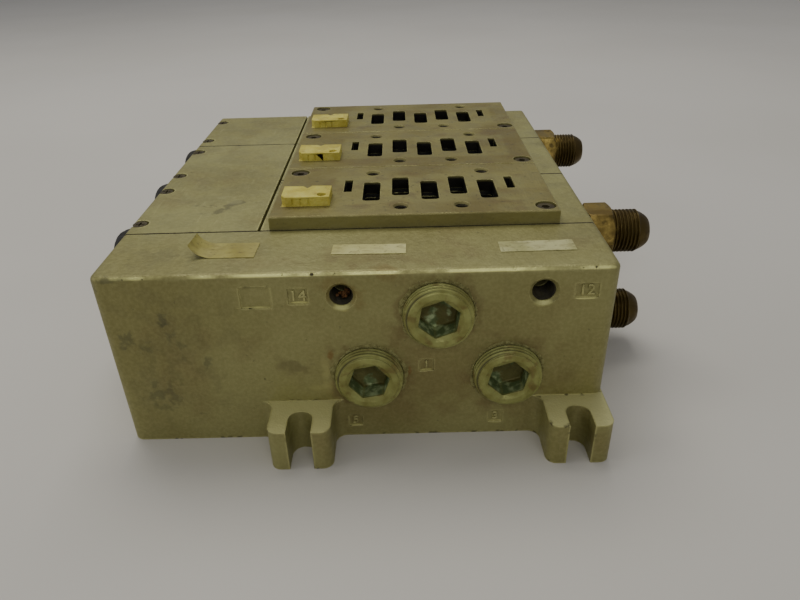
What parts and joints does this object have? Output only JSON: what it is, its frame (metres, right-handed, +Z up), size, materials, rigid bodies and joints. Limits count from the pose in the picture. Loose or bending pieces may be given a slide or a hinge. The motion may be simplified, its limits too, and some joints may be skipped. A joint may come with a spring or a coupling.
{
  "type": "valve manifold base",
  "caption": "Stacked manifold base with slotted valve pads, wiring covers, side outlets with flare fittings, plugged end ports and slotted mounting feet.",
  "frame": {"origin": "centre of the stack's underside: middle of the body's width and of the length from the front face to the rear end plate's face", "axes": "+X from the wiring side to the fittings side, +Y from the front end plate to the rear end plate, +Z up out of the valve pads"},
  "size_m": [0.2389, 0.2572, 0.0846],
  "materials": {
    "cast_aluminium": "grey silver paint, worn to bright metal at the edges",
    "valve_pad": "painted, machined top stained brown",
    "wiring_cover": "grey silver paint, scuffed",
    "seal_rubber": "matt",
    "fastener_steel": "dulled plated steel",
    "plug_steel": "dulled zinc plate",
    "aged_brass": "dark aged",
    "contact_brass": "bright",
    "nylon": "yellowed",
    "black_plastic": "satin",
    "terminal_plastic": "matt",
    "board": "satin",
    "label": "matt, soiled"
  },
  "bodies": {
    "root": {"blank_label_1": "label", "blank_label_2": "label", "blank_label_3": "label", "block_seal_1": "seal_rubber", "block_seal_2": "seal_rubber", "block_seal_3": "seal_rubber", "block_seal_4": "seal_rubber", "cable_entry_cap_1": "black_plastic", "cable_entry_cap_2": "black_plastic", "cable_entry_cap_3": "black_plastic", "cable_entry_nut_1": "black_plastic", "cable_entry_nut_2": "black_plastic", "cable_entry_nut_3": "black_plastic", "connector_contacts_1": "contact_brass", "connector_contacts_2": "contact_brass", "connector_contacts_3": "contact_brass", "cover_seal_front": "seal_rubber", "cover_seal_rear": "seal_rubber", "flare_fitting_lower_1": "aged_brass", "flare_fitting_upper_1": "aged_brass", "flare_fitting_upper_3": "aged_brass", "front_end_plate": "cast_aluminium", "link_board_1": "board", "link_board_2": "board", "link_board_3": "board", "pad_screws": "fastener_steel", "pad_seal_1": "seal_rubber", "pad_seal_2": "seal_rubber", "pad_seal_3": "seal_rubber", "plug_in_connector_1": "nylon", "plug_in_connector_2": "nylon", "plug_in_connector_3": "nylon", "rear_end_plate": "cast_aluminium", "station_base_1": "cast_aluminium", "station_base_2": "cast_aluminium", "station_base_3": "cast_aluminium", "terminal_block_1": "terminal_plastic", "terminal_block_2": "terminal_plastic", "terminal_block_3": "terminal_plastic", "terminal_screws": "fastener_steel", "tie_rod_nuts": "fastener_steel", "tie_rod_washers": "fastener_steel", "tie_rods": "fastener_steel", "valve_pad_1": "valve_pad", "valve_pad_2": "valve_pad", "valve_pad_3": "valve_pad", "wiring_trunk_1": "cast_aluminium", "wiring_trunk_2": "cast_aluminium", "wiring_trunk_3": "cast_aluminium"},
    "cover_front": {"wiring_cover_front": "wiring_cover", "cover_screws_front": "fastener_steel"},
    "cover_rear": {"wiring_cover_rear": "wiring_cover", "cover_screws_rear": "fastener_steel"},
    "plug_1": {"port_plug_1": "plug_steel"},
    "plug_3": {"port_plug_3": "plug_steel"},
    "plug_5": {"port_plug_5": "plug_steel"}
  },
  "joints": [
    {"name": "cover_front_lift", "type": "slide", "parent": "root", "child": "cover_front", "axis": [0, 0, 1], "range_m": [0, 0.05]},
    {"name": "cover_rear_lift", "type": "slide", "parent": "root", "child": "cover_rear", "axis": [0, 0, 1], "range_m": [0, 0.05]},
    {"name": "plug_1_turn", "type": "hinge", "parent": "root", "child": "plug_1", "pos_m": [0.0298, -0.11, 0.057], "axis": [0, -1, 0], "continuous": true},
    {"name": "plug_5_turn", "type": "hinge", "parent": "root", "child": "plug_5", "pos_m": [0.0033, -0.11, 0.0298], "axis": [0, -1, 0], "continuous": true},
    {"name": "plug_3_turn", "type": "hinge", "parent": "root", "child": "plug_3", "pos_m": [0.0562, -0.11, 0.0298], "axis": [0, -1, 0], "continuous": true}
  ]
}
